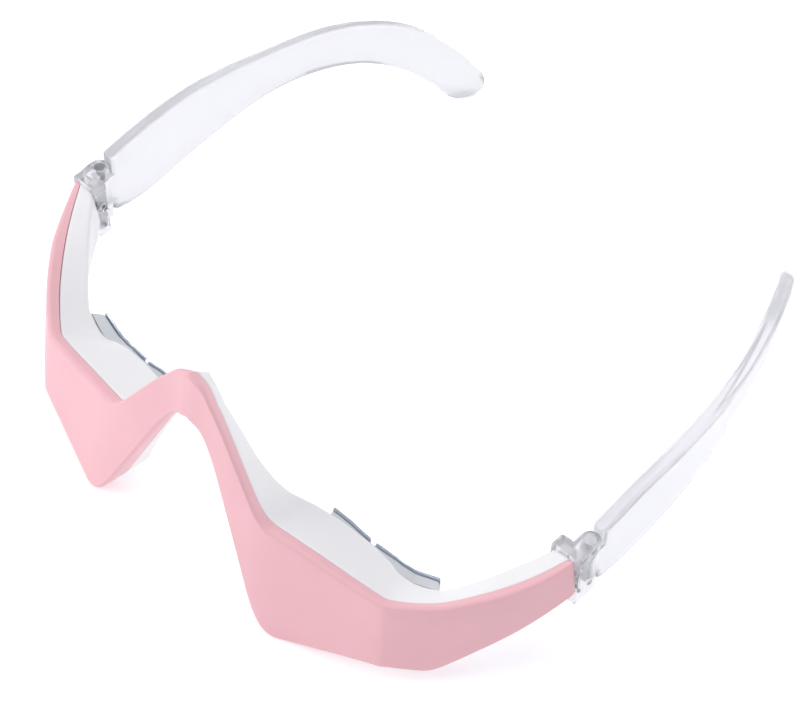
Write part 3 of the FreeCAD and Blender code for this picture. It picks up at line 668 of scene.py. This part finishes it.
def mouldedBlack(name="mouldedBlack", colour=(0.022, 0.022, 0.026), lift=(0.045, 0.045, 0.05)):
    made = Finish(name)
    grain = made.noise(4500, 2)
    made.colour(made.blend(made.ramp(grain, 0.45, 0.75), colour, lift))
    made.rough(grain * 0.2 + 0.38)
    return made.bump(grain, 0.3, 0.00002).material


foilFinish = {"dark": (0.50, 0.51, 0.53), "bright": (0.68, 0.69, 0.71), "creaseScale": 330.0,
              "creaseWidth": 0.14, "rough": 0.26, "roughSpread": 0.2, "creaseDepth": 0.0001}


def foilPouch():
    look = foilFinish
    made = Finish("foilPouch", Metallic=0.85)
    creases = made.node("ShaderNodeTexVoronoi", {"feature": "DISTANCE_TO_EDGE"},
                        {"Vector": made.place, "Scale": look["creaseScale"]})
    cloud = made.noise(420, 3)
    made.colour(made.blend(cloud, look["dark"], look["bright"]))
    made.rough(cloud * look["roughSpread"] + look["rough"])
    folds = made.ramp(creases, 0.0, look["creaseWidth"]) + cloud * 0.4
    return made.bump(folds, 0.35, look["creaseDepth"]).material


filmFinish = {"film": (0.46, 0.19, 0.025), "track": (0.72, 0.33, 0.06), "trackScale": 340.0,
              "rough": 0.22, "roughSpread": 0.12, "trackDepth": 0.00003}


def amberFilm():
    # Polyimide film over copper tracks that run along the ribbon
    look = filmFinish
    made = Finish("amberFilm", Coat_Weight=0.5, Coat_Roughness=0.12)
    tracks = made.node("ShaderNodeTexWave", {"bands_direction": "Z"},
                       {"Vector": made.place, "Scale": look["trackScale"], "Distortion": 0.0})
    made.colour(made.blend(made.ramp(tracks, 0.45, 0.55), look["film"], look["track"]))
    made.rough(made.noise(900) * look["roughSpread"] + look["rough"])
    return made.bump(tracks, 0.2, look["trackDepth"]).material


def lightChip():
    made = Finish("lightChip", Coat_Weight=0.6)
    cloud = made.noise(1600, 2)
    made.colour(made.blend(cloud, (0.86, 0.80, 0.52), (0.93, 0.90, 0.72)))
    return made.rough(cloud * 0.1 + 0.2).material


print("finishes")
pink = softTouchPink()
white = satinWhite()
capWhite = satinWhite("capWhite", {**shellFinish, "rough": 0.24, "grain": 5200})
paleGrey = satinWhite("paleGrey", padFinish)
plateMetal = polishedPlate()
clear = clearPlastic()
clearBlock = clearPlastic("clearBlock", {**clearFinish, "clear": 0.74, "ripple": 420})
pipeClear = clearPlastic("pipeClear", {**clearFinish, "rough": 0.08})
bareSteel = steel()
motorSteel = steel("motorSteel", {**steelFinish, "turning": 2400, "rough": 0.3})
darkSteel = steel("darkSteel", {**steelFinish, "bright": (0.30, 0.31, 0.33),
                                "dark": (0.20, 0.20, 0.22)})
black = mouldedBlack()
chipBlack = mouldedBlack("chipBlack", (0.016, 0.016, 0.018), (0.03, 0.03, 0.034))
foam = mouldedBlack("foam", (0.02, 0.02, 0.02), (0.06, 0.06, 0.06))


def paint(piece, material):
    piece.data.materials.clear()
    piece.data.materials.append(material)


def finishCadNodes():
    named = {
        "main_board": circuitBoard(), "board_chips": chipBlack, "charging_port": motorSteel,
        "port_tongue": black, "power_button": capWhite, "switch_plunger": black,
        "switch_body": black, "status_light": lightChip(), "status_light_pipe": pipeClear,
        "battery": foilPouch(), "battery_tape": foam, "bridge_ribbon": amberFilm(),
        "electrode_studs": bareSteel, "hinge_dowels": darkSteel,
    }
    for word in ("right", "left"):
        named[word + "_vibration_motor"] = motorSteel
        named[word + "_hinge_block"] = clearBlock
        named[word + "_hinge_pin"] = bareSteel
        named[word + "_temple_arm"] = clear
    for node, material in named.items():
        paint(frame["nodes"][node], material)


screwShape = {
    "hinge_screws": {"acrossHinge": True, "shank": 0.7, "head": 1.25, "headHeight": 0.75,
                     "socket": 0.62, "depth": 0.45},
    "shell_screws": {"acrossHinge": False, "shank": 0.8, "head": 1.4, "headHeight": 0.8,
                     "socket": 0.7, "depth": 0.45},
    "board_screws": {"acrossHinge": False, "shank": 0.6, "head": 1.0, "headHeight": 0.5,
                     "socket": 0.5, "depth": 0.3},
}
threadShape = {"pitch": 0.3, "tipHeight": 0.35, "tipShare": 0.55, "rootShare": 0.84,
               "rootHeight": 0.35, "runOut": 0.35, "ringCount": 24, "socketCorners": 6}


def looseParts(node):
    # The separate solids of a CAD node, as arrays of points in metres
    bm = bmesh.new()
    bm.from_mesh(frame["nodes"][node].data)
    bmesh.ops.remove_doubles(bm, verts=bm.verts, dist=1e-7)
    bm.verts.ensure_lookup_table()
    seen, parts = set(), []
    for first in bm.verts:
        if first in seen:
            continue
        group, queue = [], [first]
        seen.add(first)
        while queue:
            vertex = queue.pop()
            group.append(vertex.co.copy())
            for edge in vertex.link_edges:
                other = edge.other_vert(vertex)
                if other not in seen:
                    seen.add(other)
                    queue.append(other)
        parts.append(group)
    bm.free()
    return parts


def facetDepth(side):
    # The direction straight into a lobe's front facet
    turn = math.radians(shellShape["turn"][1][1])
    (topDepth, top), (lowDepth, low) = wallCorners(shellShape["facetPlace"])[:2]
    slope = (topDepth - lowDepth) / (top - low)
    return Vector((-math.sin(turn) * side, math.cos(turn), -slope)).normalized()


def screwPattern(name, shape, length):
    # One screw that stands on its tip at the origin, with a six-sided socket in its head
    thread = threadShape
    corners, ringCount = thread["socketCorners"], thread["ringCount"]
    shank, head, top = shape["shank"], shape["head"], length
    under = length - shape["headHeight"]
    profile = [(0.0, 0.0), (shank * thread["tipShare"], 0.0), (shank, thread["tipHeight"])]
    pitch = thread["pitch"]
    turns = max(1, int((under - thread["tipHeight"] - thread["runOut"]) / pitch))
    for turn in range(turns):  # ridges of the thread
        low = thread["tipHeight"] + turn * pitch
        profile += [(shank * thread["rootShare"], low + pitch * thread["rootHeight"]),
                    (shank, low + pitch)]
    profile += [(shank, under), (head - 0.06, under), (head, under + 0.07),
                (head, top - 0.18), (head - 0.05, top - 0.06), (head - 0.2, top)]
    points, faces = [], []
    for radius, height in profile[1:]:
        for step in range(ringCount):
            angle = math.tau * step / ringCount
            points.append(Vector((radius * math.cos(angle), radius * math.sin(angle), height)))
    rings = len(profile) - 1
    for height in (top, top - shape["depth"]):
        for step in range(ringCount):
            angle = math.tau * step / ringCount
            bite = (angle % (math.tau / corners)) - math.pi / corners
            radius = shape["socket"] * math.cos(math.pi / corners) / math.cos(bite)
            points.append(Vector((radius * math.cos(angle), radius * math.sin(angle), height)))
    for ring in range(rings + 1):
        for step in range(ringCount):
            other = (step + 1) % ringCount
            faces.append((ring * ringCount + step, ring * ringCount + other,
                          (ring + 1) * ringCount + other, (ring + 1) * ringCount + step))
    faces.append(list(range(ringCount)))
    faces.append(list(range((rings + 1) * ringCount, (rings + 2) * ringCount)))
    return addPiece(name, points, faces, 28)


def scatterTree(name):
    # Instances of a pattern on a mesh's points, each turned along the point's own axis
    tree = bpy.data.node_groups.new(name, "GeometryNodeTree")
    face = tree.interface
    sockets = {
        "places": face.new_socket(name="Places", in_out="INPUT", socket_type="NodeSocketGeometry"),
        "pattern": face.new_socket(name="Pattern", in_out="INPUT", socket_type="NodeSocketObject"),
        "size": face.new_socket(name="Size", in_out="INPUT", socket_type="NodeSocketFloat"),
        "spread": face.new_socket(name="Turn spread", in_out="INPUT",
                                  socket_type="NodeSocketFloat"),
        "finish": face.new_socket(name="Finish", in_out="INPUT", socket_type="NodeSocketMaterial"),
    }
    face.new_socket(name="Pieces", in_out="OUTPUT", socket_type="NodeSocketGeometry")
    node = tree.nodes.new

    def link(source, output, target, entry):
        tree.links.new(source.outputs[output], target.inputs[entry])

    start, end = node("NodeGroupInput"), node("NodeGroupOutput")
    axis = node("GeometryNodeInputNamedAttribute")
    axis.data_type = "FLOAT_VECTOR"
    axis.inputs["Name"].default_value = "axis"
    align = node("FunctionNodeAlignRotationToVector")
    align.axis = "Z"
    link(axis, "Attribute", align, "Vector")
    turn = node("FunctionNodeRandomValue")
    turn.data_type = "FLOAT"
    turn.inputs["Seed"].default_value = 7
    link(start, "Turn spread", turn, 3)
    spin = node("ShaderNodeCombineXYZ")
    link(turn, 1, spin, "Z")
    rotate = node("FunctionNodeRotateRotation")
    rotate.rotation_space = "LOCAL"
    euler = node("FunctionNodeEulerToRotation")
    link(spin, 0, euler, 0)
    link(align, 0, rotate, 0)
    link(euler, 0, rotate, 1)
    source = node("GeometryNodeObjectInfo")
    link(start, "Pattern", source, "Object")
    place = node("GeometryNodeInstanceOnPoints")
    link(start, "Places", place, "Points")
    link(source, "Geometry", place, "Instance")
    link(rotate, 0, place, "Rotation")
    link(start, "Size", place, "Scale")
    real = node("GeometryNodeRealizeInstances")
    link(place, 0, real, 0)
    coat = node("GeometryNodeSetMaterial")
    link(real, 0, coat, "Geometry")
    link(start, "Finish", coat, "Material")
    link(coat, 0, end, 0)
    return tree, {key: socket.identifier for key, socket in sockets.items()}


def scattered(name, pattern, spots, axes, tree, inputs, material):
    mesh = bpy.data.meshes.new(name)
    mesh.from_pydata(spots, [], [])
    axis = mesh.attributes.new("axis", "FLOAT_VECTOR", "POINT")
    axis.data.foreach_set("vector", [value for vector in axes for value in vector])
    piece = bpy.data.objects.new(name, mesh)
    bpy.context.scene.collection.objects.link(piece)
    layer = piece.modifiers.new("scatter", "NODES")
    layer.node_group = tree
    layer[inputs["pattern"]] = pattern
    layer[inputs["size"]] = 1.0
    layer[inputs["spread"]] = 1.0
    layer[inputs["finish"]] = material
    bpy.context.view_layer.update()
    graph = bpy.context.evaluated_depsgraph_get()
    made = bpy.data.meshes.new_from_object(piece.evaluated_get(graph))
    piece.modifiers.clear()
    piece.data = made
    bpy.data.objects.remove(pattern)
    return piece


def makeScrews():
    tree, inputs = scatterTree("screwSet")
    names = {"hinge_screws": "hingeScrews", "shell_screws": "shellScrews",
             "board_screws": "boardScrews"}
    made = {}
    for node, shape in screwShape.items():
        spots, axes = [], []
        for part in looseParts(node):
            middle = sum(part, Vector()) / len(part)
            side = right if middle.x > 0 else left
            # heads face the wearer, and on the hinges the middle of the mask
            axis = Vector((-side, 0, 0)) if shape["acrossHinge"] else facetDepth(side)
            heights = [point.dot(axis) for point in part]
            low, high = min(heights), max(heights)
            core = [p for p, h in zip(part, heights) if h < low + 0.3 * (high - low)]
            centre = sum(core, Vector()) / len(core)
            spots.append(centre + axis * (low - centre.dot(axis)))
            axes.append(axis)
            length = (high - low) / mm
        pattern = screwPattern("pattern", shape, length)
        made[node] = scattered(names[node], pattern, spots, axes, tree, inputs, bareSteel)
    print("screws:", sum(len(piece.data.polygons) for piece in made.values()), "faces")
    return made


def standsFor(piece, node, body, material):
    if material:
        paint(piece, material)
    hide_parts(node)
    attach(piece, body)


viewpoint = {"azimuth": 41.963, "elevation": 51.780, "roll": 1.608, "lens": 101.753,
             "place": (0.218581, -0.248729, 0.422176)}


def makeCamera():
    azimuth, elevation = math.radians(viewpoint["azimuth"]), math.radians(viewpoint["elevation"])
    back = Vector((math.sin(azimuth) * math.cos(elevation),
                   -math.cos(azimuth) * math.cos(elevation), math.sin(elevation)))
    across = Vector((math.cos(azimuth), math.sin(azimuth), 0))
    upward = back.cross(across)
    roll = math.radians(viewpoint["roll"])
    across, upward = (across * math.cos(roll) + upward * math.sin(roll),
                      upward * math.cos(roll) - across * math.sin(roll))
    camera = bpy.data.objects.new("camera", bpy.data.cameras.new("camera"))
    camera.data.lens, camera.data.sensor_width = viewpoint["lens"], 36
    camera.data.clip_start = 0.01
    turned = Matrix((across, upward, back)).transposed().to_4x4()
    camera.matrix_world = Matrix.Translation(viewpoint["place"]) @ turned
    bpy.context.scene.collection.objects.link(camera)
    bpy.context.scene.camera = camera


studio = {
    "sky": (0.93, 0.94, 1.0), "horizon": (0.62, 0.64, 0.70), "skyStrength": 0.5,
    "floor": (0.92, 0.92, 0.93), "floorGlow": 0.31, "floorSize": 3.0,
    "lamps": [
        # place, aimed at, size, watts, colour
        ((-0.82, -0.88, 0.8), (0, -0.03, 0.02), 0.9, 9.8, (1.0, 0.985, 0.98)),
        ((0.8, 0.6, 0.75), (0, -0.03, 0.02), 0.8, 2.0, (0.97, 0.98, 1.0)),
        ((0.1, 0.4, 1.2), (0, 0.0, 0.0), 1.1, 5.2, (1.0, 1.0, 1.0)),
    ],
}


def makeStudio():
    world = bpy.data.worlds.new("studio")
    bpy.context.scene.world = world
    world.use_nodes = True
    nodes, links = world.node_tree.nodes, world.node_tree.links
    ground = nodes["Background"]
    ground.inputs["Strength"].default_value = studio["skyStrength"]
    spot, split = nodes.new("ShaderNodeTexCoord"), nodes.new("ShaderNodeSeparateXYZ")
    ramp = nodes.new("ShaderNodeValToRGB")
    for element, colour in zip(ramp.color_ramp.elements, (studio["horizon"], studio["sky"])):
        element.color = (*colour, 1)
    ramp.color_ramp.elements[0].position = 0.02
    ramp.color_ramp.elements[1].position = 0.45
    links.new(spot.outputs["Generated"], split.inputs[0])
    links.new(split.outputs["Z"], ramp.inputs[0])
    links.new(ramp.outputs[0], ground.inputs["Color"])
    for index, (place, aim, size, watts, colour) in enumerate(studio["lamps"]):
        lamp = bpy.data.lights.new("lamp" + str(index), "AREA")
        lamp.shape, lamp.size, lamp.energy, lamp.color = "DISK", size, watts, colour
        holder = bpy.data.objects.new(lamp.name, lamp)
        holder.location = place
        away = Vector(place) - Vector(aim)
        holder.rotation_euler = away.to_track_quat("Z", "Y").to_euler()
        bpy.context.scene.collection.objects.link(holder)
    half = studio["floorSize"] / 2
    mesh = bpy.data.meshes.new("floor")
    corners = [(-half, -half, -0.0001), (half, -half, -0.0001), (half, half, -0.0001),
               (-half, half, -0.0001)]
    mesh.from_pydata(corners, [], [(0, 1, 2, 3)])
    floor = bpy.data.objects.new("floor", mesh)
    bpy.context.scene.collection.objects.link(floor)
    finish = Finish("floorPaper", Specular_IOR_Level=0.1, Emission_Color=(1.0, 0.99, 1.0),
                    Emission_Strength=studio["floorGlow"])
    cloud = finish.noise(3.0, 2)
    finish.colour(finish.blend(cloud, tinted(studio["floor"], 0.99), studio["floor"]))
    finish.rough(cloud * 0.05 + 0.85)
    paint(floor, finish.material)


makeCamera()
makeStudio()
print("camera, floor and lights")
standsFor(makeCover(), "front_cover", "mask", pink)
standsFor(makeRearShell(), "rear_shell", "mask", white)
for node, piece in makePadsAndPlates().items():
    isPad = node.endswith("pad")
    standsFor(piece, node, "mask",
              paleGrey if isPad else plateMetal)
for node, piece in makeScrews().items():
    standsFor(piece, node, "mask", None)
finishCadNodes()
print("materials on the frame's own pieces")
bpy.context.scene.view_settings.view_transform = "Standard"
